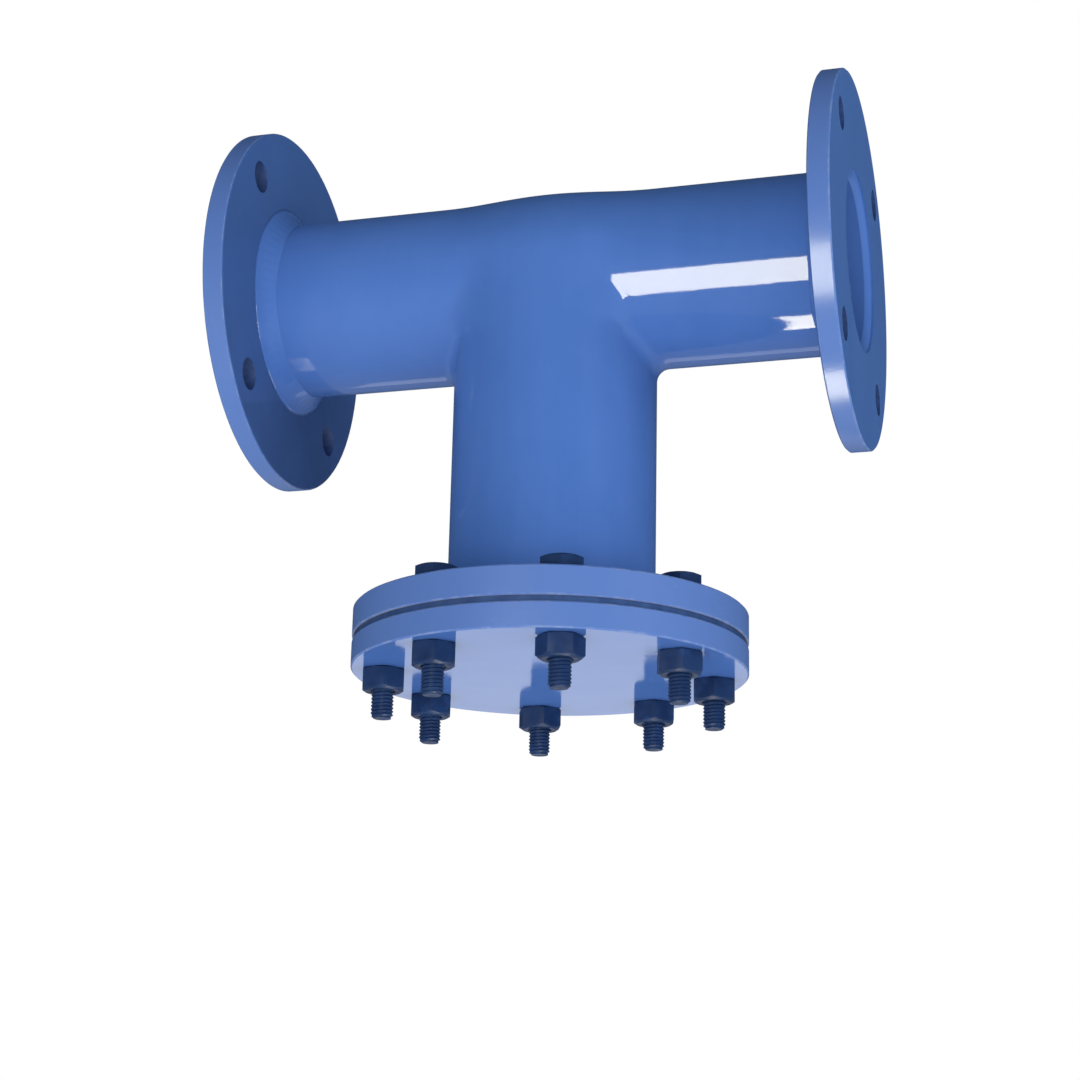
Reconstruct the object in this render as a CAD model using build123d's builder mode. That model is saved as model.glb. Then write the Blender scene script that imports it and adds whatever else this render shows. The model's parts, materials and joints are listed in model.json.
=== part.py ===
"""T strainer in a pipe line: two line flanges on a straight run, a wide barrel hanging below it,
a bolted blind cover under the barrel and a slant-topped basket inside.

Millimetres, +Z up. The run lies along X with the inlet at -X and the outlet at +X.
The origin is on the barrel's axis, level with the lowest tips of the cover bolts.
"""
from build123d import *
from math import atan2, cos, degrees, radians
import os

# Straight run: thin-walled 101.6 mm tube between two flat plate flanges
run_radius = 50.8
run_wall = 5.0
face_to_face = 346.0
line_flange_radius = 105.0
line_flange_thickness = 12.0
line_bolt_circle = 170.0
line_bolt_count = 4
line_hole_radius = 9.0
pipe_setback = 4.5

# Barrel: 4 inch pipe, joined to a tee that is closed above the run by a shallow crown
barrel_radius = 57.15
barrel_wall = 6.0
crown_height = 53.0
knuckle_radius = 45.0
crotch_radius = 8.0
collar_reach = 68.0
branch_reach = 72.0

# Cover joint under the barrel: half inch bolts, heads on top and nuts below
joint_radius = 108.0
body_flange_thickness = 16.0
gasket_thickness = 3.0
gasket_margin = 1.5
cover_thickness = 14.0
joint_bolt_circle = 180.0
joint_bolt_count = 8
first_bolt_angle = 19.5
joint_hole_radius = 7.0
bolt_radius = 6.35
bolt_past_cover = 27.0
bolt_tip_chamfer = 1.2
bolt_head_height = 8.0
hex_across_flats = 22.2
nut_height = 12.3
nut_clearance = 0.06
head_turns = (12, 50, 33, 27, 5, 45, 56, 8)
nut_turns = (22, 42, 7, 15, 31, 45, 26, 15)
plate_edge = 0.8
run_height_over_flange = 193.0

# Fillet welds, by the length of their legs
line_weld_leg = 8.0
joint_weld_leg = 7.0
weld_hollow = 0.8

# Slanted diaphragm that parts the inlet side from the outlet side
diaphragm_thickness = 4.0
diaphragm_hole_radius = 39.0

# Basket: punched shell lined with wire cloth, on a solid base with a slotted skirt and a pull bar
basket_radius = 46.0
basket_wall = 1.5
lining_wall = 0.8
rim_depth = 5.0
rim_width = 6.5
seat_gap = 0.5
base_thickness = 2.5
skirt_radius = 48.0
skirt_wall = 3.0
skirt_height = 24.0
skirt_gap = 0.5
slot_count = 6
slot_width = 12.0
slot_height = 12.0
pore_size = 9.0
pores_per_row = 16
pore_row_pitch = 16.0
pore_margin = 10.0
bar_radius = 3.0
bar_span = 44.0
bar_drop = 17.0
bar_bend = 9.0
guide_count = 4
guide_length = 30.0
guide_width = 8.0
guide_gap = 0.8
guide_height_over_flange = 20.0

# Heights and places worked out from the sizes above
cover_bottom = bolt_past_cover
cover_top = cover_bottom + cover_thickness
flange_bottom = cover_top + gasket_thickness
flange_top = flange_bottom + body_flange_thickness
run_height = flange_top + run_height_over_flange
barrel_bottom = flange_bottom + pipe_setback
barrel_top = run_height - branch_reach
face_x = face_to_face / 2
pipe_end_x = face_x - pipe_setback
flange_back_x = face_x - line_flange_thickness
run_bore = run_radius - run_wall
barrel_bore = barrel_radius - barrel_wall
skirt_bottom = cover_top + skirt_gap
base_bottom = skirt_bottom + skirt_height
base_top = base_bottom + base_thickness
first_row_height = base_top + pore_margin
basket_bore = basket_radius - basket_wall
seat_plane = Plane(origin=(0, 0, run_height), x_dir=(0, 1, 0), z_dir=(-1, 0, 1))
rim_plane = seat_plane.offset(-diaphragm_thickness / 2 - seat_gap)
slant_cut_size = 6 * barrel_radius

pieces = []


def keep(piece, label):
    """Name a finished piece and put it on the list that is written out at the end."""
    piece.label = label
    pieces.append(piece)


def crowned_barrel(inset_from_outside, foot):
    """Upright round body from its foot to the run's axis, closed above by a dished crown.

    The crown is a knuckle arc and a dome arc that meet in one tangent.
    """
    radius = barrel_radius - inset_from_outside
    knuckle = knuckle_radius - inset_from_outside
    crown = crown_height - inset_from_outside
    knuckle_x = radius - knuckle
    dome = (knuckle_x**2 + crown**2 - knuckle**2) / (2 * (crown - knuckle))
    turn = degrees(atan2(dome - crown, knuckle_x))
    with BuildPart() as body:
        with BuildSketch(Plane.XZ):
            with BuildLine():
                Polyline((0, run_height + crown), (0, foot), (radius, foot), (radius, run_height))
                CenterArc((knuckle_x, run_height), knuckle, 0, arc_size=turn)
                CenterArc((0, run_height + crown - dome), dome, turn, arc_size=90 - turn)
            make_face()
        revolve(axis=Axis.Z)
    return body.part


def run_rod(radius, start_x, end_x):
    """Solid round length on the run's axis."""
    with BuildPart() as rod:
        with BuildSketch(Plane.YZ.offset(start_x)):
            with Locations((0, run_height)):
                Circle(radius)
        extrude(amount=end_x - start_x)
    return rod.part


def fillet_weld(radius, leg, foot):
    """Weld ring with a slightly hollow face, round an upright pipe that stands on a plate."""
    with BuildPart() as ring:
        with BuildSketch(Plane.XZ):
            with BuildLine():
                Polyline((radius, foot + leg), (radius, foot), (radius + leg, foot))
                SagittaArc((radius + leg, foot), (radius, foot + leg), weld_hollow)
            make_face()
        revolve(axis=Axis.Z)
    return ring.part


def seal_weld(radius, wall, face, depth):
    """Weld ring in the step between a plate's face and the set-back end of an upright pipe."""
    with BuildPart() as ring:
        with BuildSketch(Plane.XZ):
            with BuildLine():
                Polyline((radius - wall, face + depth), (radius, face + depth), (radius, face + 1))
                SagittaArc((radius, face + 1), (radius - wall, face + depth), weld_hollow)
            make_face()
        revolve(axis=Axis.Z)
    return ring.part


def joint_plate(radius, bore, bottom, thickness, edge):
    """Round plate of the cover joint with its ring of bolt holes."""
    with BuildPart() as plate:
        with BuildSketch(Plane.XY.offset(bottom)):
            Circle(radius)
            if bore:
                Circle(bore, mode=Mode.SUBTRACT)
        extrude(amount=thickness)
        if edge:
            rims = [e for e in plate.edges().filter_by(GeomType.CIRCLE) if e.radius > radius - edge]
            chamfer(rims, edge)
        with Locations((0, 0, bottom)):
            with PolarLocations(joint_bolt_circle / 2, joint_bolt_count, first_bolt_angle):
                Cylinder(joint_hole_radius, 3 * thickness, mode=Mode.SUBTRACT)
    return plate.part


def line_flange(start_x):
    """Flat plate flange of the run, its holes astride the centre lines."""
    with BuildPart() as flange:
        with BuildSketch(Plane.YZ.offset(start_x)):
            with Locations((0, run_height)):
                Circle(line_flange_radius)
                Circle(run_radius, mode=Mode.SUBTRACT)
                with PolarLocations(line_bolt_circle / 2, line_bolt_count, 180 / line_bolt_count):
                    Circle(line_hole_radius, mode=Mode.SUBTRACT)
        extrude(amount=line_flange_thickness)
        rims = flange.edges().filter_by(GeomType.CIRCLE)
        chamfer([e for e in rims if e.radius > line_flange_radius - plate_edge], plate_edge)
    return flange.part


def hexagon(bottom, height, turn, bore):
    """Hexagon whose corners are turned off in a cone at the top, and at both ends if it is a nut."""
    corner_radius = hex_across_flats / 2 / cos(radians(30))
    cone_height = 0.6 * (corner_radius - hex_across_flats / 2)
    low = cone_height if bore else 0
    top = bottom + height
    outline = [
        (0, bottom),
        (corner_radius - 2 * low, bottom),
        (corner_radius, bottom + low),
        (corner_radius, top - cone_height),
        (corner_radius - 2 * cone_height, top),
        (0, top),
    ]
    with BuildPart() as prism:
        with BuildSketch(Plane.XY.offset(bottom)):
            RegularPolygon(corner_radius, 6, rotation=turn)
            if bore:
                Circle(bore, mode=Mode.SUBTRACT)
        extrude(amount=height)
        with BuildSketch(Plane.XZ):
            with BuildLine():
                Polyline(*dict.fromkeys(outline), close=True)
            make_face()
        revolve(axis=Axis.Z, mode=Mode.INTERSECT)
    return prism.part


def laid_on_run(piece, x, facing):
    """Turn an upright ring so that its top points along the run, towards +X or -X."""
    plane = Plane(origin=(x, 0, run_height), x_dir=(0, 1, 0), z_dir=(facing, 0, 0))
    return plane.location * piece


# The space inside the body, which hollows the tee and trims the diaphragm
with BuildPart() as cavity:
    add(crowned_barrel(barrel_wall, barrel_bottom - pipe_setback))
    add(run_rod(run_bore, -collar_reach, collar_reach))

# Tee body: the crowned head of the barrel, with two short collars drawn out for the run
with BuildPart() as tee_body:
    add(crowned_barrel(0, barrel_top))
    add(run_rod(run_radius, -collar_reach, collar_reach))
    fillet(tee_body.edges().filter_by(GeomType.BSPLINE), crotch_radius)
    add(cavity.part, mode=Mode.SUBTRACT)
keep(tee_body.part, "tee_body")

# Barrel pipe: plain length from the tee down into the body flange
with BuildPart() as barrel_pipe:
    with BuildSketch(Plane.XY.offset(barrel_bottom)):
        Circle(barrel_radius)
        Circle(barrel_bore, mode=Mode.SUBTRACT)
    extrude(amount=barrel_top - barrel_bottom)
keep(barrel_pipe.part, "barrel_pipe")

# Run: a stub pipe, a flange and its two welds on each side
for side, name in ((-1, "inlet"), (1, "outlet")):
    ends = sorted((side * collar_reach, side * pipe_end_x))
    with BuildPart() as pipe:
        add(run_rod(run_radius, ends[0], ends[1]))
        add(run_rod(run_bore, ends[0], ends[1]), mode=Mode.SUBTRACT)
    keep(pipe.part, name + "_pipe")
    keep(line_flange(face_x - line_flange_thickness if side > 0 else -face_x), name + "_flange")
    back_weld = laid_on_run(fillet_weld(run_radius, line_weld_leg, 0), side * flange_back_x, -side)
    keep(back_weld, name + "_flange_weld")
    bore_weld = laid_on_run(seal_weld(run_radius, run_wall, 0, pipe_setback), side * face_x, -side)
    keep(bore_weld, name + "_seal_weld")

# Foot of the barrel: slip-on flange with a weld above and a seal weld in its bore
upper_plate = joint_plate(joint_radius, barrel_radius, flange_bottom, body_flange_thickness, plate_edge)
keep(upper_plate, "body_flange")
keep(fillet_weld(barrel_radius, joint_weld_leg, flange_top), "body_flange_weld")
keep(seal_weld(barrel_radius, barrel_wall, flange_bottom, pipe_setback), "body_flange_seal_weld")

# Diaphragm: a plate at 45 degrees that fills the tee's section, with an opening for the basket's mouth
with BuildPart() as diaphragm:
    with BuildSketch(seat_plane.offset(-diaphragm_thickness / 2)):
        Rectangle(slant_cut_size, slant_cut_size)
    extrude(amount=diaphragm_thickness)
    add(cavity.part, mode=Mode.INTERSECT)
    with Locations((0, 0, run_height)):
        Cylinder(diaphragm_hole_radius, slant_cut_size, mode=Mode.SUBTRACT)
keep(diaphragm.part, "diaphragm")

# Guides: upright bars on the barrel's wall that keep the basket central
with BuildPart() as basket_guides:
    guide_inside = skirt_radius + guide_gap
    with BuildSketch(Plane.XY.offset(flange_top + guide_height_over_flange)):
        with PolarLocations(guide_inside, guide_count, 180 / guide_count):
            Rectangle(barrel_wall, guide_width, align=(Align.MIN, Align.CENTER))
        Circle(barrel_bore, mode=Mode.INTERSECT)
    extrude(amount=guide_length)
keep(basket_guides.part, "basket_guides")


def slanted_tube(outer, bore, foot, top_plane):
    """Upright tube whose top is cut along a slanted plane."""
    with BuildPart() as shell:
        with BuildSketch(Plane.XY.offset(foot)):
            Circle(outer)
            Circle(bore, mode=Mode.SUBTRACT)
        extrude(amount=slant_cut_size)
        split(bisect_by=top_plane, keep=Keep.BOTTOM)
    return shell.part


def pore_places():
    """Staggered rows of pores, left out where they would come too near the slanted mouth."""
    places = []
    row = 0
    height = first_row_height
    rim_drop = (diaphragm_thickness / 2 + seat_gap + rim_depth) / cos(radians(45))
    while height < run_height + basket_radius:
        for step in range(pores_per_row):
            angle = 360 / pores_per_row * (step + 0.5 * (row % 2))
            mouth = run_height + basket_radius * cos(radians(angle)) - rim_drop
            if height + pore_margin < mouth:
                places.append(Location((0, 0, height), (0, 0, angle)))
        height += pore_row_pitch
        row += 1
    return places


# Basket shell: rolled plate punched with square pores, its mouth cut to lie under the diaphragm
screen_top = rim_plane.offset(-rim_depth)
with BuildPart() as basket_screen:
    add(slanted_tube(basket_radius, basket_bore, base_top, screen_top))
    with Locations(*pore_places()):
        with Locations((basket_radius, 0, 0)):
            Box(4 * basket_wall, pore_size, pore_size, mode=Mode.SUBTRACT)
keep(basket_screen.part, "basket_screen")

# Wire cloth inside the shell, as one thin sheet
keep(slanted_tube(basket_bore, basket_bore - lining_wall, base_top, screen_top), "basket_lining")

# Rim: slanted seat ring that closes against the diaphragm
with BuildPart() as basket_rim:
    add(slanted_tube(basket_radius, basket_radius - rim_width, base_top, rim_plane))
    split(bisect_by=screen_top, keep=Keep.TOP)
keep(basket_rim.part, "basket_rim")

# Base plate and the slotted skirt that stands on the cover
with BuildPart() as basket_base:
    with BuildSketch(Plane.XY.offset(base_bottom)):
        Circle(skirt_radius)
    extrude(amount=base_thickness)
keep(basket_base.part, "basket_base")

with BuildPart() as basket_skirt:
    with BuildSketch(Plane.XY.offset(skirt_bottom)):
        Circle(skirt_radius)
        Circle(skirt_radius - skirt_wall, mode=Mode.SUBTRACT)
    extrude(amount=skirt_height)
    with BuildSketch(Plane.XY.offset(skirt_bottom)):
        with PolarLocations(skirt_radius, slot_count):
            Rectangle(4 * skirt_wall, slot_width)
    extrude(amount=slot_height, mode=Mode.SUBTRACT)
keep(basket_skirt.part, "basket_skirt")

# Pull bar: round rod bent to a U and welded under the base plate
with BuildPart() as basket_bar:
    with BuildLine():
        FilletPolyline(
            (-bar_span / 2, 0, base_bottom),
            (-bar_span / 2, 0, base_bottom - bar_drop),
            (bar_span / 2, 0, base_bottom - bar_drop),
            (bar_span / 2, 0, base_bottom),
            radius=bar_bend,
        )
    with BuildSketch(Plane.XY.offset(base_bottom)):
        with Locations((-bar_span / 2, 0)):
            Circle(bar_radius)
    sweep()
keep(basket_bar.part, "basket_bar")

# Blind cover and its full-face gasket
keep(joint_plate(joint_radius, 0, cover_bottom, cover_thickness, plate_edge), "cover")
gasket_bore = barrel_bore + gasket_margin
gasket_radius = joint_radius - gasket_margin
keep(joint_plate(gasket_radius, gasket_bore, cover_top, gasket_thickness, 0), "cover_gasket")

# Cover bolts and nuts, each pair with its corners turned its own way
bolt_circle = PolarLocations(joint_bolt_circle / 2, joint_bolt_count, first_bolt_angle)
for number, spot in enumerate(bolt_circle, start=1):
    with BuildPart() as cover_bolt:
        with Locations(spot):
            add(hexagon(flange_top, bolt_head_height, head_turns[number - 1], 0))
            Cylinder(bolt_radius, flange_top, align=(Align.CENTER, Align.CENTER, Align.MIN))
        chamfer(cover_bolt.edges().sort_by(Axis.Z)[0], bolt_tip_chamfer)
    keep(cover_bolt.part, f"cover_bolt_{number}")

    with BuildPart() as cover_nut:
        with Locations(spot):
            nut_bore = bolt_radius + nut_clearance
            add(hexagon(cover_bottom - nut_height, nut_height, nut_turns[number - 1], nut_bore))
    keep(cover_nut.part, f"cover_nut_{number}")

os.makedirs("parts", exist_ok=True)
for piece in pieces:
    export_step(piece, f"parts/{piece.label}.step")
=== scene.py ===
"""T strainer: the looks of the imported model, with a pale studio and the photograph's camera."""

import json
import math

import bpy
from mathutils import Matrix, Vector


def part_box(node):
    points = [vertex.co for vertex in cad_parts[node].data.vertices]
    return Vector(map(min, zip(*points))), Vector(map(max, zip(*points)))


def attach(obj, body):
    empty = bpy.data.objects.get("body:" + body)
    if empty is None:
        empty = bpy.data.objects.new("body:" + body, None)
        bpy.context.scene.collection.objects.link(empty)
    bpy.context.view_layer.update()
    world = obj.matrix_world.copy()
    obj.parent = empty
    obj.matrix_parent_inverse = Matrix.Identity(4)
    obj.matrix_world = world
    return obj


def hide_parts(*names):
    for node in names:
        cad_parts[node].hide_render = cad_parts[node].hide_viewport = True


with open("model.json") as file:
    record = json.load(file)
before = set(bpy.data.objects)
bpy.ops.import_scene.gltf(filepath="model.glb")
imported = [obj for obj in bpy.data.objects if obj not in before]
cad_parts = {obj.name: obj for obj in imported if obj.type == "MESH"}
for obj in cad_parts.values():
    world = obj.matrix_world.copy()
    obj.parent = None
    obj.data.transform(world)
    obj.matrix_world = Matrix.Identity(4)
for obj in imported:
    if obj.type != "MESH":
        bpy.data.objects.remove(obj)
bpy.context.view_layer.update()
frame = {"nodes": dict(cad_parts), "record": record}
bpy.context.scene.view_settings.view_transform = "Standard"

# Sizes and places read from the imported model, in metres
line_bolts = next(mount["dims"] for mount in frame["record"]["mounts"] if mount["name"] == "outlet_bolts")
LINE_BOLT_CIRCLE = line_bolts["pcd_mm"] / 1000
LINE_HOLE_RADIUS = line_bolts["hole_r_mm"] / 1000
flange_low, flange_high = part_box("outlet_flange")
cover_low, cover_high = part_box("cover")
FLANGE_BACK, FLANGE_FACE = flange_low.x, flange_high.x
LINE_FLANGE_RADIUS = flange_high.y
RUN_HEIGHT = (flange_low.z + flange_high.z) / 2
RUN_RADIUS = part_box("outlet_pipe")[1].y
BARREL_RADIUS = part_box("barrel_pipe")[1].x
JOINT_RADIUS = cover_high.x
COVER_BOTTOM, COVER_TOP = cover_low.z, cover_high.z
GASKET_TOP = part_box("cover_gasket")[1].z
BODY_FLANGE_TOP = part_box("body_flange")[1].z
BOLT_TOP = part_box("cover_bolt_1")[1].z
NUT_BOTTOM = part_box("cover_nut_1")[0].z

# Sizes shared with the model that its boxes don't show, in metres and degrees
CROWN_HEIGHT = 0.053
KNUCKLE_RADIUS = 0.045
BOLT_COUNT = 8
FIRST_BOLT_ANGLE = 19.5
BOLT_CIRCLE = 0.180
BOLT_RADIUS = 0.00635
BOLT_FLATS = 0.0222
THREAD_PITCH = 0.0254 / 13

# Camera, worked out from the outlines of the flanges and pipes in the photograph
CAMERA_TARGET = Vector((-0.00718, 0, RUN_HEIGHT - 0.14899))
CAMERA_DISTANCE = 1.25015
CAMERA_AZIMUTH = math.radians(16.58)
CAMERA_RISE = math.radians(-16.22)
CAMERA_ROLL = math.radians(1.29)
CAMERA_NEAR = 0.05
FOCAL_PIXELS = 2257.7
IMAGE_PIXELS = 1080
SENSOR_WIDTH = 36.0

# Colours
ENAMEL_DEEP = (0.058, 0.146, 0.432)
ENAMEL_PALE = (0.070, 0.162, 0.464)
ENAMEL_STREAK = (0.078, 0.174, 0.487)
ENAMEL_SPECK = (0.11, 0.20, 0.50)
# Paler, greyer rim of the plates: a painted sheen
RIM_SHEEN_PALE = (0.105, 0.180, 0.42)
RUBBED_EDGE = (0.20, 0.27, 0.46)
# Painted shade on the line flanges' inner faces, darker towards the bottom
INNER_FACE_SHADE_LOW = (0.040, 0.088, 0.24)
INNER_FACE_SHADE_HIGH = (0.053, 0.122, 0.34)
# Painted shade in the bolt holes
HOLE_SHADE_DARK = (0.020, 0.050, 0.16)
HOLE_SHADE_PALE = (0.034, 0.076, 0.22)
SEAT_DARK = (0.10, 0.075, 0.065)
SEAT_PALE = (0.20, 0.165, 0.15)
FASTENER_DARK = (0.007, 0.023, 0.078)
FASTENER_PALE = (0.012, 0.036, 0.110)
FASTENER_SPRAY = (0.026, 0.074, 0.225)
RUBBER_DARK = (0.014, 0.014, 0.016)
RUBBER_PALE = (0.035, 0.035, 0.038)
GASKET_PAINT_DARK = (0.018, 0.048, 0.145)
GASKET_PAINT_PALE = (0.032, 0.074, 0.20)
PRIMER_DARK = (0.16, 0.05, 0.035)
PRIMER_PALE = (0.24, 0.09, 0.06)
STAINLESS_DARK = (0.50, 0.50, 0.49)
STAINLESS_PALE = (0.62, 0.62, 0.61)
WIRE_DARK = (0.20, 0.20, 0.195)
WIRE_PALE = (0.30, 0.30, 0.29)
# Painted shade in the gaps between the wires
WIRE_GAP_SHADE = (0.012, 0.012, 0.014)
FLOOR_DARK = (0.86, 0.86, 0.86)
FLOOR_PALE = (0.9, 0.9, 0.9)
GROUND_IMAGE = (0.36, 0.40, 0.46)
ROOF_DARK = (0.025, 0.055, 0.12)
ROOF_PALE = (0.05, 0.09, 0.17)
WORLD_LIGHT = (0.9, 0.95, 1.0)
WARM_LAMP = (1.0, 0.93, 0.70)

# Finishes
ENAMEL_SPECULAR = 0.35
FASTENER_SPECULAR = 0.12
RUBBER_SPECULAR = 0.15
RUBBER_ROUGHNESS = 0.7
PRIMER_ROUGHNESS = 0.65
WIRE_ROUGHNESS = 0.45
WARP_WIRES = 150
WEFT_PITCH = 0.0016

# Studio
FLOOR_HEIGHT = -1.6
FLOOR_SIZE = 40
FLOOR_GLOW = 0.64
WORLD_STRENGTH = 0.24
DOME_REACH = 4.0
DOME_CENTRE = 0.15


def link(obj):
    bpy.context.scene.collection.objects.link(obj)
    return obj


def axes_to_matrix(right, up, back, place):
    return Matrix((
        (right.x, up.x, back.x, place[0]),
        (right.y, up.y, back.y, place[1]),
        (right.z, up.z, back.z, place[2]),
        (0, 0, 0, 1),
    ))


def make_camera():
    """Camera in front of the strainer, a little to the right of it and below it."""
    data = bpy.data.cameras.new("camera")
    data.sensor_width = SENSOR_WIDTH
    data.lens = FOCAL_PIXELS * SENSOR_WIDTH / IMAGE_PIXELS
    data.clip_start = CAMERA_NEAR
    camera = link(bpy.data.objects.new("camera", data))
    back = Vector((
        math.sin(CAMERA_AZIMUTH) * math.cos(CAMERA_RISE),
        -math.cos(CAMERA_AZIMUTH) * math.cos(CAMERA_RISE),
        math.sin(CAMERA_RISE),
    ))
    right = Vector((math.cos(CAMERA_AZIMUTH), math.sin(CAMERA_AZIMUTH), 0))
    up = back.cross(right)
    turned_right = right * math.cos(CAMERA_ROLL) + up * math.sin(CAMERA_ROLL)
    turned_up = up * math.cos(CAMERA_ROLL) - right * math.sin(CAMERA_ROLL)
    place = CAMERA_TARGET + back * CAMERA_DISTANCE
    camera.matrix_world = axes_to_matrix(turned_right, turned_up, back, place)
    bpy.context.scene.camera = camera


class Nodes:
    """Helper that adds and joins the nodes of a material or of the world."""

    def __init__(self, owner, output):
        owner.use_nodes = True
        self.owner = owner
        self.tree = owner.node_tree
        self.tree.nodes.clear()
        self.output = self.add(output)

    def add(self, kind, **values):
        node = self.tree.nodes.new(kind)
        for key, value in values.items():
            setattr(node, key, value)
        return node

    def join(self, start, end):
        self.tree.links.new(start, end)

    def feed(self, value, socket):
        """Join a socket's value to another socket, or set a plain number or colour on it."""
        if isinstance(value, bpy.types.NodeSocket):
            self.join(value, socket)
        elif isinstance(value, tuple):
            socket.default_value = (*value, 1)
        else:
            socket.default_value = value

    def calc(self, operation, *values):
        node = self.add("ShaderNodeMath", operation=operation)
        for value, socket in zip(values, node.inputs):
            self.feed(value, socket)
        return node.outputs[0]


class Look(Nodes):
    """Nodes of one material, with its textures laid out in the model's own frame."""

    def __init__(self, name):
        super().__init__(bpy.data.materials.new(name), "ShaderNodeOutputMaterial")
        self.place = self.add("ShaderNodeTexCoord").outputs["Object"]
        self.split = None

    def axis(self, letter):
        """The X, Y or Z of each place on the piece."""
        if self.split is None:
            self.split = self.add("ShaderNodeSeparateXYZ")
            self.join(self.place, self.split.inputs[0])
        return self.split.outputs[letter]

    def length(self, first, second):
        squares = [self.calc("POWER", value, 2) for value in (first, second)]
        return self.calc("SQRT", self.calc("ADD", *squares))

    def noise(self, scale, detail=3, rough=0.5, stretch=(1, 1, 1)):
        mapping = self.add("ShaderNodeMapping")
        mapping.inputs["Scale"].default_value = stretch
        self.join(self.place, mapping.inputs["Vector"])
        texture = self.add("ShaderNodeTexNoise")
        texture.inputs["Scale"].default_value = scale
        texture.inputs["Detail"].default_value = detail
        texture.inputs["Roughness"].default_value = rough
        self.join(mapping.outputs["Vector"], texture.inputs["Vector"])
        return texture.outputs["Fac"]

    def ramp(self, value, low, high, start=0.0, end=1.0):
        """Number that runs from start to end while the value goes from low to high."""
        node = self.add("ShaderNodeMapRange")
        node.inputs["From Min"].default_value = low
        node.inputs["From Max"].default_value = high
        node.inputs["To Min"].default_value = start
        node.inputs["To Max"].default_value = end
        self.join(value, node.inputs["Value"])
        return node.outputs["Result"]

    def clouds(self, scale, detail=3, rough=0.6, stretch=(1, 1, 1), bottom=0.0, top=1.0):
        """Noise with its middle part spread over the whole stretch from bottom to top."""
        noise = self.noise(scale, detail, rough, stretch)
        return self.ramp(noise, low=0.3, high=0.7, start=bottom, end=top)

    def mix(self, factor, first, second):
        node = self.add("ShaderNodeMix", data_type="RGBA")
        for value, socket in ((factor, node.inputs[0]), (first, node.inputs[6]), (second, node.inputs[7])):
            self.feed(value, socket)
        return node.outputs[2]

    def bump(self, height, distance, under=None):
        node = self.add("ShaderNodeBump")
        node.inputs["Distance"].default_value = distance
        self.join(height, node.inputs["Height"])
        if under:
            self.join(under, node.inputs["Normal"])
        return node.outputs["Normal"]

    def surface(self, colour, roughness, normal, metallic=0.0, specular=0.5):
        shader = self.add("ShaderNodeBsdfPrincipled")
        self.join(colour, shader.inputs["Base Color"])
        self.feed(roughness, shader.inputs["Roughness"])
        self.join(normal, shader.inputs["Normal"])
        shader.inputs["Metallic"].default_value = metallic
        shader.inputs["Specular IOR Level"].default_value = specular
        self.join(shader.outputs[0], self.output.inputs["Surface"])
        return self.owner


def edge_wear(n, colour, axis, centre, radius, planes):
    """Rubbed paint on a plate's round edges, broken by noise, a painted sheen on its rim, and the rim's
    mask.
    """
    rubbed_full, rubbed_end, rubbed_amount = 0.0004, 0.0013, 0.7
    rim_start, rim_full, rim_sheen_amount = -0.0012, -0.0008, 0.55
    across = [n.calc("SUBTRACT", n.axis(k), centre[k]) for k in "XYZ" if k != axis]
    side = n.calc("SUBTRACT", n.length(*across), radius)
    gap = None
    for plane in planes:
        near = n.calc("ABSOLUTE", n.calc("SUBTRACT", n.axis(axis), plane))
        gap = n.calc("MINIMUM", gap, near) if gap else near
    line = n.ramp(n.length(side, gap), rubbed_full, rubbed_end, start=1.0, end=0.0)
    broken = n.ramp(n.noise(scale=130, detail=4, rough=0.65), low=0.45, high=0.62)
    rim = n.ramp(side, rim_start, rim_full)
    # The whole rim is painted paler and greyer: a painted sheen.
    sheened_rim = n.mix(n.calc("MULTIPLY", rim, rim_sheen_amount), colour, RIM_SHEEN_PALE)
    rubbed = n.calc("MULTIPLY", n.calc("MULTIPLY", line, broken), rubbed_amount)
    return n.mix(rubbed, sheened_rim, RUBBED_EDGE), rim


def blue_base(n):
    """Blue of the enamel: cloudy coats, brush streaks down the piece and small dull specks."""
    streak_amount, speck_amount = 0.35, 0.2
    streaks = n.ramp(n.noise(scale=60, detail=4, rough=0.6, stretch=(1, 1, 0.12)), low=0.35, high=0.7)
    specks = n.ramp(n.noise(scale=900, detail=2, rough=0.6), low=0.66, high=0.72)
    colour = n.mix(n.clouds(scale=14, detail=4), ENAMEL_DEEP, ENAMEL_PALE)
    colour = n.mix(n.calc("MULTIPLY", streaks, streak_amount), colour, ENAMEL_STREAK)
    return n.mix(n.calc("MULTIPLY", specks, speck_amount), colour, ENAMEL_SPECK)


def enamel_skin(n):
    """Orange peel over long soft waves."""
    peel, waves = 0.00003, 0.00012
    normal = n.bump(n.noise(scale=260, rough=0.55), peel)
    return n.bump(n.noise(scale=40, detail=2), waves, under=normal)


def blue_enamel():
    n = Look("blue_enamel")
    rough = n.clouds(scale=35, bottom=0.04, top=0.08)
    return n.surface(blue_base(n), rough, enamel_skin(n), specular=ENAMEL_SPECULAR)


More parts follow.
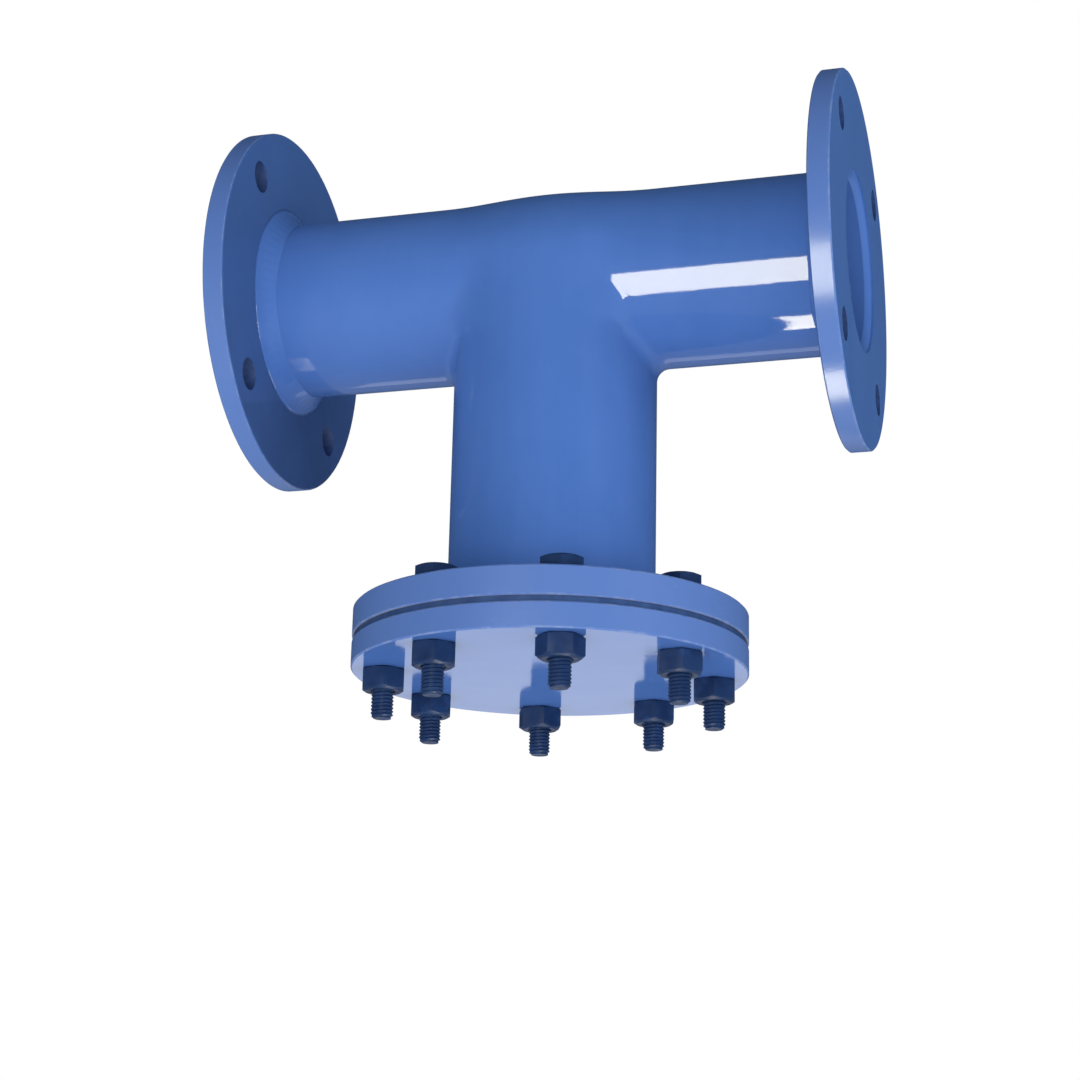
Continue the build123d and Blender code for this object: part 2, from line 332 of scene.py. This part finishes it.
def flange_enamel():
    """Enamel of the line flanges: painted shade on the inner faces and in the dull bolt holes; worn edges.
    """
    n = Look("flange_enamel")
    faces = [side * x for side in (-1, 1) for x in (FLANGE_BACK, FLANGE_FACE)]
    colour, rim = edge_wear(n, blue_base(n), "X", {"Y": 0, "Z": RUN_HEIGHT}, LINE_FLANGE_RADIUS, faces)

    # Both flanges' inner faces are painted darker and greyer, most towards the bottom: painted shade,
    # broken up a little by noise.
    shade_low_z, shade_high_z, face_reach = 0.20, 0.32, 0.0004
    inner = n.calc("COMPARE", n.calc("ABSOLUTE", n.axis("X")), FLANGE_BACK, face_reach)
    inner_face_shade = n.mix(n.ramp(n.axis("Z"), shade_low_z, shade_high_z), INNER_FACE_SHADE_LOW, INNER_FACE_SHADE_HIGH)
    patchy = n.ramp(n.noise(scale=25, detail=4, rough=0.6), low=0.2, high=0.6, start=0.75, end=1.0)
    colour = n.mix(n.calc("MULTIPLY", inner, patchy), colour, inner_face_shade)

    # Bolt hole walls painted dark blue: painted shade in the holes; they are rougher as well.
    hole_full, hole_end, hole_rough = LINE_HOLE_RADIUS + 0.0001, LINE_HOLE_RADIUS + 0.0005, 0.5
    spread = LINE_BOLT_CIRCLE / 2 * math.cos(math.pi / 4)
    y = n.calc("SUBTRACT", n.calc("ABSOLUTE", n.axis("Y")), spread)
    z = n.calc("SUBTRACT", n.calc("ABSOLUTE", n.calc("SUBTRACT", n.axis("Z"), RUN_HEIGHT)), spread)
    hole = n.ramp(n.length(y, z), hole_full, hole_end, start=1.0, end=0.0)
    colour = n.mix(hole, colour, n.mix(n.clouds(scale=400, rough=0.5), HOLE_SHADE_DARK, HOLE_SHADE_PALE))

    rim_rough = 0.10
    rough = n.calc("ADD", n.clouds(scale=35, bottom=0.08, top=0.16), n.calc("MULTIPLY", rim, rim_rough))
    rough = n.calc("ADD", rough, n.calc("MULTIPLY", hole, hole_rough))
    return n.surface(colour, rough, enamel_skin(n), specular=ENAMEL_SPECULAR)


def joint_enamel():
    """Enamel of the body flange and the cover, rubbed along their edges, with bare faces in the joint."""
    n = Look("joint_enamel")
    planes = (COVER_BOTTOM, COVER_TOP, GASKET_TOP, BODY_FLANGE_TOP)
    colour, rim = edge_wear(n, blue_base(n), "Z", {"X": 0, "Y": 0}, JOINT_RADIUS, planes)
    seat_reach, seat_rough, rim_rough = (GASKET_TOP - COVER_TOP) / 2 + 0.00002, 0.4, 0.15
    seat = n.calc("COMPARE", n.axis("Z"), (COVER_TOP + GASKET_TOP) / 2, seat_reach)
    colour = n.mix(seat, colour, n.mix(n.clouds(scale=60, detail=4), SEAT_DARK, SEAT_PALE))
    rough = n.calc("ADD", n.clouds(scale=35, bottom=0.07, top=0.14), n.calc("MULTIPLY", rim, rim_rough))
    rough = n.calc("ADD", rough, n.calc("MULTIPLY", seat, seat_rough))
    return n.surface(colour, rough, enamel_skin(n), specular=ENAMEL_SPECULAR)


def dark_steel():
    """Blackened bolts and nuts that have caught some of the blue spray."""
    n = Look("dark_steel")
    grain, spray_amount = 0.00005, 0.35
    spray = n.ramp(n.noise(scale=45, detail=4, rough=0.7), low=0.56, high=0.68)
    colour = n.mix(n.clouds(scale=90, detail=4), FASTENER_DARK, FASTENER_PALE)
    colour = n.mix(n.calc("MULTIPLY", spray, spray_amount), colour, FASTENER_SPRAY)
    rough = n.clouds(scale=200, bottom=0.35, top=0.55)
    normal = n.bump(n.noise(scale=900, rough=0.6), grain)
    return n.surface(colour, rough, normal, specular=FASTENER_SPECULAR)


def gasket_rubber():
    """Black sheet, its outer edge painted over with the rest."""
    n = Look("gasket_rubber")
    paint_start, paint_full, paint_ragged, grain = 0.1058, 0.1066, 0.002, 0.00008
    ragged = n.ramp(n.noise(scale=90), low=0, high=1, start=0, end=paint_ragged)
    edge = n.ramp(n.calc("ADD", n.length(n.axis("X"), n.axis("Y")), ragged), paint_start, paint_full)
    sheet = n.mix(n.clouds(scale=120, detail=4), RUBBER_DARK, RUBBER_PALE)
    paint = n.mix(n.clouds(scale=120, detail=4), GASKET_PAINT_DARK, GASKET_PAINT_PALE)
    normal = n.bump(n.noise(scale=1200, rough=0.6), grain)
    return n.surface(n.mix(edge, sheet, paint), RUBBER_ROUGHNESS, normal, specular=RUBBER_SPECULAR)


def primer():
    """Dull primer, red-brown, on the plates inside."""
    n = Look("inner_primer")
    grain = 0.0001
    colour = n.mix(n.clouds(scale=40, detail=4), PRIMER_DARK, PRIMER_PALE)
    return n.surface(colour, PRIMER_ROUGHNESS, n.bump(n.noise(scale=500, rough=0.6), grain))


def stainless():
    """Rolled sheet, its grain drawn out along the basket."""
    n = Look("stainless")
    grain = 0.00003
    colour = n.mix(n.clouds(scale=400, stretch=(1, 1, 0.05)), STAINLESS_DARK, STAINLESS_PALE)
    rough = n.clouds(scale=50, bottom=0.28, top=0.45)
    normal = n.bump(n.noise(scale=1500, detail=2, rough=0.6), grain)
    return n.surface(colour, rough, normal, metallic=1.0)


def wire_cloth():
    """Plain weave: the warp runs up the basket, the weft goes round it, painted shade between the wires."""
    n = Look("wire_cloth")
    weave_height = 0.0002
    turn = n.calc("ARCTAN2", n.axis("Y"), n.axis("X"))
    warp = n.calc("SINE", n.calc("MULTIPLY", turn, WARP_WIRES))
    weft = n.calc("SINE", n.calc("MULTIPLY", n.axis("Z"), 2 * math.pi / WEFT_PITCH))
    over = n.calc("MULTIPLY", warp, weft)
    wire = n.mix(n.clouds(scale=300), WIRE_DARK, WIRE_PALE)
    # Near-black lines between the wires: painted shade in the gaps of the weave.
    colour = n.mix(n.ramp(n.calc("ABSOLUTE", over), low=0.08, high=0.45), WIRE_GAP_SHADE, wire)
    normal = n.bump(n.ramp(over, low=-1, high=1), weave_height)
    return n.surface(colour, WIRE_ROUGHNESS, normal, metallic=1.0)


def paint_all(look, names):
    for name in names:
        node = frame["nodes"][name]
        node.data.materials.clear()
        node.data.materials.append(look)


def mesh_piece(name, body, look, points, faces, crease=180):
    """Smooth mesh that rides on a body, creased where its faces meet at more than an angle."""
    mesh = bpy.data.meshes.new(name)
    mesh.from_pydata(points, [], faces)
    mesh.validate()
    mesh.polygons.foreach_set("use_smooth", [True] * len(mesh.polygons))
    mesh.set_sharp_from_angle(angle=math.radians(crease))
    mesh.materials.append(look)
    piece = link(bpy.data.objects.new(name, mesh))
    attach(piece, body)
    return piece


def ring_faces(rings, around, closed=False):
    """Quads between rings of points that all have the same number of points."""
    faces = []
    for r in range(rings if closed else rings - 1):
        for k in range(around):
            a, b = r * around + k, r * around + (k + 1) % around
            c, d = ((r + 1) % rings) * around + (k + 1) % around, ((r + 1) % rings) * around + k
            faces.append((a, b, c, d))
    return faces


def weld_bead(radius, leg, ripples, place, start):
    """Points and faces of a closed fillet bead round a pipe on a plate.

    Its face is a little hollow and laid in overlapping ripples. place turns (out from the axis, up from
    the plate, angle) into a point of the model.
    """
    section, steps_per_ripple, hollow = 9, 10, 0.5
    ripple_height, ripple_bend, ripple_fall = 0.00016, 0.45, 0.7
    sink, root, toe = 0.0004, 0.0012, 0.0006
    long_waves, long_height, short_waves, short_height = 3, 0.05, 7, 0.03
    around = ripples * steps_per_ripple
    points = []
    for step in range(around):
        angle = 2 * math.pi * step / around
        waves = long_height * math.sin(long_waves * angle + start)
        waves += short_height * math.sin(short_waves * angle + 2 * start)
        size = leg * (1 + waves)
        for j in range(section):
            t = j / (section - 1)
            bow = 4 * t * (1 - t)
            tooth = (ripples * angle / (2 * math.pi) + ripple_bend * bow + start) % 1
            wave = ripple_height * (1 - tooth) ** ripple_fall * bow
            arc = math.pi / 2 * (1 - t)
            out = size * ((1 - hollow) * t + hollow * (1 - math.sin(arc))) + wave - sink
            up = size * ((1 - hollow) * (1 - t) + hollow * (1 - math.cos(arc))) + wave
            points.append(place(radius + out, up, angle))
        points.append(place(radius - root, -sink, angle))
        points.append(place(radius - root, size - toe, angle))
    return points, ring_faces(around, section + 2, closed=True)


def dress_welds(look):
    """Rippled beads behind both line flanges and on top of the body flange."""
    line_leg, line_ripples, line_start = 0.0102, 58, 1.3
    foot_leg, foot_ripples, foot_start = 0.0088, 70, 0.4
    for name, side in (("inlet", -1), ("outlet", 1)):
        def on_run(out, up, angle, side=side):
            return (side * (FLANGE_BACK - up), out * math.cos(angle), RUN_HEIGHT + out * math.sin(angle))

        points, faces = weld_bead(RUN_RADIUS, line_leg, line_ripples, on_run, line_start + side)
        bead = mesh_piece(f"{name}_flange_bead", "body", look, points, faces)
        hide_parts(f"{name}_flange_weld")

    def on_barrel(out, up, angle):
        return (out * math.cos(angle), out * math.sin(angle), BODY_FLANGE_TOP + up)

    points, faces = weld_bead(BARREL_RADIUS, foot_leg, foot_ripples, on_barrel, foot_start)
    bead = mesh_piece("body_flange_bead", "body", look, points, faces)
    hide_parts("body_flange_weld")


def crowned_barrel_reach(x, direction):
    """Distance from the run's axis to the outside of the crowned barrel, in one direction across it."""
    farthest, halvings = 0.2, 24
    y_step, z_step = math.cos(direction), math.sin(direction)
    knuckle_x = BARREL_RADIUS - KNUCKLE_RADIUS
    dome = (knuckle_x**2 + CROWN_HEIGHT**2 - KNUCKLE_RADIUS**2) / (2 * (CROWN_HEIGHT - KNUCKLE_RADIUS))
    low, high = 0.0, farthest
    for _ in range(halvings):
        reach = (low + high) / 2
        out, up = math.hypot(x, reach * y_step), reach * z_step
        if up < 0:
            outside = out > BARREL_RADIUS
        elif (out - knuckle_x) * (dome - CROWN_HEIGHT) > up * knuckle_x:
            outside = math.hypot(out - knuckle_x, up) > KNUCKLE_RADIUS
        else:
            outside = math.hypot(out, up + dome - CROWN_HEIGHT) > dome
        if outside:
            high = reach
        else:
            low = reach
    return low


def fade(value, start, end):
    """Smooth step from 0 at start to 1 at end."""
    t = min(1.0, max(0.0, (value - start) / (end - start)))
    return t * t * (3 - 2 * t)


def blended_reach(x, turn, half_length, lowest_rise):
    """Distance from the run's axis to the drawn metal: a hump over the top, a fillet down both sides.

    It lies just above the solid's own surface and sinks just under it towards the shell's borders.
    """
    hump_reach, fillet_reach, fillet_widening = 0.057, 0.013, 0.006
    widened, begun, off_middle, over_top = (15, 35), (-58, -36), (0.004, 0.02), (-12, 15)
    sunk, lifted, border_length, border_turn = 0.0001, 0.00018, 0.014, 14
    rise = math.degrees(math.asin(math.sin(turn)))
    barrel = crowned_barrel_reach(x, turn)
    solid = max(RUN_RADIUS, barrel)
    swell = crowned_barrel_reach(0, turn) - RUN_RADIUS
    hump = RUN_RADIUS + swell * max(0.0, 1 - (x / hump_reach) ** 2) ** 2 - solid
    soft = fillet_reach + fillet_widening * fade(-rise, *widened)
    fillet = soft / 4 * max(0.0, 1 - abs(RUN_RADIUS - barrel) / soft) ** 2
    fillet *= fade(rise, *begun) * fade(abs(x), *off_middle)
    upper = fade(rise, *over_top)
    extra = max(0.0, hump) * upper + fillet * (1 - upper)
    inside = fade(half_length - abs(x), 0, border_length) * fade(rise - lowest_rise, 0, border_turn)
    return solid + extra - sunk + lifted * inside


def crown_blend(look):
    """Drawn metal of the tee: a slim closed shell that rounds crown and barrel over into both arms."""
    half_length, wall, end_turn = 0.066, 0.0015, 60
    along_steps, across_steps = 88, 150
    outer, inner = [], []
    for i in range(along_steps + 1):
        x = half_length * (2 * i / along_steps - 1)
        for j in range(across_steps + 1):
            turn = math.radians(-end_turn + (180 + 2 * end_turn) * j / across_steps)
            reach = blended_reach(x, turn, half_length, -end_turn)
            for distance, side in ((reach, outer), (reach - wall, inner)):
                side.append((x, distance * math.cos(turn), RUN_HEIGHT + distance * math.sin(turn)))
    count = across_steps + 1
    faces = []
    for i in range(along_steps):
        for j in range(across_steps):
            a, d = i * count + j, (i + 1) * count + j
            faces.append((d, d + 1, a + 1, a))
            faces.append(tuple(k + len(outer) for k in (a, a + 1, d + 1, d)))
    last = along_steps * count
    border = list(range(count)) + [i * count + across_steps for i in range(1, along_steps + 1)]
    border += [last + j for j in range(across_steps - 1, -1, -1)]
    border += [i * count for i in range(along_steps - 1, 0, -1)]
    for k, start in enumerate(border):
        end = border[(k + 1) % len(border)]
        faces.append((start, end, end + len(outer), start + len(outer)))
    mesh_piece("tee_crown_blend", "body", look, outer + inner, faces, crease=60)


def bolt_spot(number):
    spot = math.radians(FIRST_BOLT_ANGLE + 360 / BOLT_COUNT * (number - 1))
    return BOLT_CIRCLE / 2 * math.cos(spot), BOLT_CIRCLE / 2 * math.sin(spot)


def corner_turn(node, centre, low, high):
    """Direction of a hexagon's corner, read from the model's own bolt or nut."""
    best, turn, tie = 0, 0, 1e-6
    for vertex in frame["nodes"][node].data.vertices:
        x, y, z = vertex.co.x - centre[0], vertex.co.y - centre[1], vertex.co.z
        if low <= z <= high and math.hypot(x, y) > best + tie:
            best, turn = math.hypot(x, y), math.atan2(y, x)
    return turn


def hex_reach(angle, turn):
    """Distance from the axis to a hexagon's side in one direction."""
    inside = (angle - turn + math.pi / 6) % (math.pi / 3) - math.pi / 6
    return BOLT_FLATS / 2 / math.cos(math.pi / 6 - abs(inside))


def chamfer_rings(end, side, turn, inner, drop):
    """Rings that turn off a hexagon's corners in a cone, from an end face back along its sides."""
    steps, past_corner = 8, 0.0001
    corner = BOLT_FLATS / 2 / math.cos(math.pi / 6)
    rings = [(end, inner)]
    for step in range(1, steps + 1):
        limit = inner + (corner + past_corner - inner) * step / steps
        height = end + side * drop * step / steps
        rings.append((height, lambda a, limit=limit: min(limit, hex_reach(a, turn))))
    return rings


def turned_piece(name, body, centre, turn, stack, look, closed=False):
    """Piece made of rings round an upright axis; each ring is a height and a reach, or a reach by angle."""
    around, crease = 36, 28
    points = []
    for z, reach in stack:
        for k in range(around):
            angle = turn + 2 * math.pi * k / around
            r = reach(angle) if callable(reach) else reach
            points.append((centre[0] + r * math.cos(angle), centre[1] + r * math.sin(angle), z))
    faces = ring_faces(len(stack), around, closed)
    return mesh_piece(name, body, look, points, faces, crease)


def thread_stack(turn, shank_end):
    """Rings of a helical thread, from the plain shank down to the bolt's rounded tip."""
    crest, depth, steepness = BOLT_RADIUS - 0.0002, 0.0007, 1.25
    tip_height, tip_drop, run_out, steps_per_turn = 0.0020, 0.0010, 0.003, 8

    def reach(angle, z):
        lead = (z / THREAD_PITCH - (angle - turn) / (2 * math.pi)) % 1
        cut = min(1.0, abs(2 * lead - 1) * steepness)
        tip = min(1.0, max(0.0, z / tip_height))
        begun = min(1.0, max(0.0, (shank_end - z) / run_out))
        return crest - depth * cut * begun - tip_drop * (1 - tip)

    steps = int(shank_end / (THREAD_PITCH / steps_per_turn))
    heights = [shank_end * (1 - step / steps) for step in range(steps + 1)]
    return [(z, lambda a, z=z: reach(a, z)) for z in heights]


def dress_bolts(look):
    """Bolts with a chamfered head, a washer face under it and a real helical thread over the lower end."""
    centre_reach, shank_end, shank_step = 0.0002, 0.0405, 0.0005
    head_inner, head_drop = 0.0101, 0.0013
    washer_reach, washer_height, washer_step = 0.0104, 0.0005, 0.0001
    for number in range(1, BOLT_COUNT + 1):
        node = f"cover_bolt_{number}"
        centre = bolt_spot(number)
        turn = corner_turn(node, centre, BODY_FLANGE_TOP, BOLT_TOP)
        stack = [(BOLT_TOP, centre_reach)] + chamfer_rings(BOLT_TOP, -1, turn, head_inner, head_drop)
        stack += [
            (BODY_FLANGE_TOP + washer_height + washer_step, lambda a, turn=turn: hex_reach(a, turn)),
            (BODY_FLANGE_TOP + washer_height, washer_reach),
            (BODY_FLANGE_TOP, washer_reach),
            (BODY_FLANGE_TOP, BOLT_RADIUS),
            (shank_end + shank_step, BOLT_RADIUS),
        ]
        stack += thread_stack(turn, shank_end) + [(0.0, centre_reach)]
        bolt = turned_piece(f"dressed_bolt_{number}", f"bolt_{number}", centre, turn, stack, look)
        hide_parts(node)


def dress_nuts(look):
    """Heavy nuts, their corners turned off in a deep cone below and a shallow one above."""
    bore, bore_chamfer = BOLT_RADIUS + 0.00006, 0.0006
    lower_inner, lower_drop, upper_inner, upper_drop = 0.0098, 0.0021, 0.0106, 0.0009
    for number in range(1, BOLT_COUNT + 1):
        node = f"cover_nut_{number}"
        centre = bolt_spot(number)
        turn = corner_turn(node, centre, NUT_BOTTOM, COVER_BOTTOM)
        stack = chamfer_rings(NUT_BOTTOM, 1, turn, lower_inner, lower_drop)
        stack += list(reversed(chamfer_rings(COVER_BOTTOM, -1, turn, upper_inner, upper_drop)))
        stack += [
            (COVER_BOTTOM, bore + bore_chamfer),
            (COVER_BOTTOM - bore_chamfer, bore),
            (NUT_BOTTOM + bore_chamfer, bore),
            (NUT_BOTTOM, bore + bore_chamfer),
        ]
        nut = turned_piece(f"dressed_nut_{number}", f"nut_{number}", centre, turn, stack, look, closed=True)
        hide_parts(node)


def make_world():
    """White to the camera, in mirror images and through glass; a weak cool light for everything else."""
    world = bpy.data.worlds.new("world")
    bpy.context.scene.world = world
    n = Nodes(world, "ShaderNodeOutputWorld")
    light = n.add("ShaderNodeBackground")
    light.inputs["Color"].default_value = (*WORLD_LIGHT, 1)
    light.inputs["Strength"].default_value = WORLD_STRENGTH
    white = n.add("ShaderNodeBackground")
    white.inputs["Color"].default_value = (1, 1, 1, 1)
    white.inputs["Strength"].default_value = 1.0
    path = n.add("ShaderNodeLightPath")
    seen = n.calc("MAXIMUM", path.outputs["Is Camera Ray"], path.outputs["Is Glossy Ray"])
    seen = n.calc("MAXIMUM", seen, path.outputs["Is Transmission Ray"])
    mix = n.add("ShaderNodeMixShader")
    n.join(seen, mix.inputs[0])
    n.join(light.outputs[0], mix.inputs[1])
    n.join(white.outputs[0], mix.inputs[2])
    n.join(mix.outputs[0], n.output.inputs["Surface"])


def area_lamp(name, place, aim, size, radiance, sees, colour=(1, 1, 1)):
    """Lamp that only lights the paint ("diffuse") or only shows as a mirror image in it ("gloss")."""
    data = bpy.data.lights.new(name, "AREA")
    data.shape = "RECTANGLE"
    data.size, data.size_y = size
    data.energy = radiance * size[0] * size[1] * math.pi
    data.color = colour
    lamp = link(bpy.data.objects.new(name, data))
    back = (Vector(place) - Vector(aim)).normalized()
    up = back.cross(Vector((1, 0, 0))).normalized()
    lamp.matrix_world = axes_to_matrix(up.cross(back), up, back, place)
    lamp.visible_camera = False
    lamp.visible_diffuse = sees == "diffuse"
    lamp.visible_glossy = sees == "gloss"


def mirror_lamps():
    """Lamps behind the long and the short highlight of the right arm, and the sheen under the cover."""
    area_lamp(
        "band_lamp", place=(-0.10, -1.1, -0.315), aim=(-0.10, 0, -0.315),
        size=(0.32, 0.69), radiance=24, sees="gloss", colour=WARM_LAMP,
    )
    area_lamp(
        "low_lamp", place=(0.045, 0.05, -0.42), aim=(0.045, 0.0501, 0),
        size=(0.13, 0.24), radiance=25, sees="gloss", colour=WARM_LAMP,
    )
    area_lamp(
        "sheet_lamp", place=(-0.14, 0.55, -0.11), aim=(-0.14, 0, -0.03),
        size=(0.42, 0.14), radiance=0.74, sees="gloss",
    )


def room_lamps():
    """Soft lamps that light the paint from the front, from below, from the right and from behind."""
    middle, wide = (0, 0, 0.18), (1.4, 1.4)
    area_lamp("front_lamp", (0, -2.1, -0.27), middle, wide, radiance=3.4, sees="diffuse")
    area_lamp("lower_lamp", (0.1, -0.8, -0.56), (0, 0, 0.15), (0.8, 0.5), radiance=0.9, sees="diffuse")
    area_lamp("side_lamp", (2.05, -0.67, -0.27), middle, wide, radiance=2.4, sees="diffuse")
    area_lamp("high_lamp", (1.3, -0.6, 0.8), (0.1, 0, 0.22), (0.8, 0.8), radiance=2.5, sees="diffuse")
    area_lamp("back_lamp", (0, 2.1, 0.6), middle, wide, radiance=2.2, sees="diffuse")


def mirror_dome():
    """Dim surroundings that only mirror images show, paler towards the ground, as in a workshop."""
    around, rings, end_rise = 48, 20, 88
    ground_height, roof_height = -1.6, 1.1
    points = []
    for r in range(rings):
        rise = math.radians(-end_rise + 2 * end_rise * r / (rings - 1))
        for k in range(around):
            a = 2 * math.pi * k / around
            points.append((
                DOME_REACH * math.cos(rise) * math.cos(a),
                DOME_REACH * math.cos(rise) * math.sin(a),
                DOME_CENTRE + DOME_REACH * math.sin(rise),
            ))
    caps = [tuple(range(around)), tuple(range((rings - 1) * around, rings * around))]
    mesh = bpy.data.meshes.new("canopy")
    mesh.from_pydata(points, [], ring_faces(rings, around) + caps)
    n = Look("canopy_dim")
    lift = n.ramp(n.axis("Z"), ground_height, roof_height)
    roof = n.mix(n.noise(scale=1.5), ROOF_DARK, ROOF_PALE)
    glow = n.add("ShaderNodeEmission")
    n.join(n.mix(lift, GROUND_IMAGE, roof), glow.inputs["Color"])
    glow.inputs["Strength"].default_value = 1.0
    n.join(glow.outputs[0], n.output.inputs["Surface"])
    mesh.materials.append(n.owner)
    canopy = link(bpy.data.objects.new("canopy", mesh))
    canopy.visible_camera = False
    canopy.visible_diffuse = False
    canopy.visible_shadow = False
    canopy.visible_transmission = False


def white_floor():
    """Pale floor that glows a little and keeps the shadow; mirror images show the dome in its place."""
    bpy.ops.mesh.primitive_plane_add(size=FLOOR_SIZE, location=(0, 0, FLOOR_HEIGHT))
    floor = bpy.context.object
    floor.name = "floor"
    n = Look("floor_white")
    diffuse = n.add("ShaderNodeBsdfDiffuse")
    n.join(n.mix(n.clouds(scale=30, rough=0.5), FLOOR_DARK, FLOOR_PALE), diffuse.inputs["Color"])
    glow = n.add("ShaderNodeEmission")
    glow.inputs["Strength"].default_value = FLOOR_GLOW
    both = n.add("ShaderNodeAddShader")
    n.join(diffuse.outputs[0], both.inputs[0])
    n.join(glow.outputs[0], both.inputs[1])
    n.join(both.outputs[0], n.output.inputs["Surface"])
    floor.data.materials.append(n.owner)
    floor.visible_glossy = False


def paint_solids(blue, dark):
    """Materials of the model's own solids; the last one given to a solid stays."""
    body = frame["record"]["behaviour"]["bodies"]["body"]
    inside = ["diaphragm", "basket_guides"]
    fasteners = [f"cover_{kind}_{i}" for kind in ("bolt", "nut") for i in range(1, BOLT_COUNT + 1)]
    paint_all(blue, [name for name in body if name not in inside])
    paint_all(flange_enamel(), ["inlet_flange", "outlet_flange"])
    paint_all(joint_enamel(), ["body_flange", "cover"])
    paint_all(primer(), inside)
    paint_all(gasket_rubber(), ["cover_gasket"])
    paint_all(stainless(), ["basket_screen", "basket_rim", "basket_base", "basket_skirt", "basket_bar"])
    paint_all(wire_cloth(), ["basket_lining"])
    paint_all(dark, fasteners)


blue_look = blue_enamel()
dark_look = dark_steel()
paint_solids(blue_look, dark_look)
dress_welds(blue_look)
crown_blend(blue_look)
dress_bolts(dark_look)
dress_nuts(dark_look)
make_world()
mirror_dome()
white_floor()
mirror_lamps()
room_lamps()
make_camera()
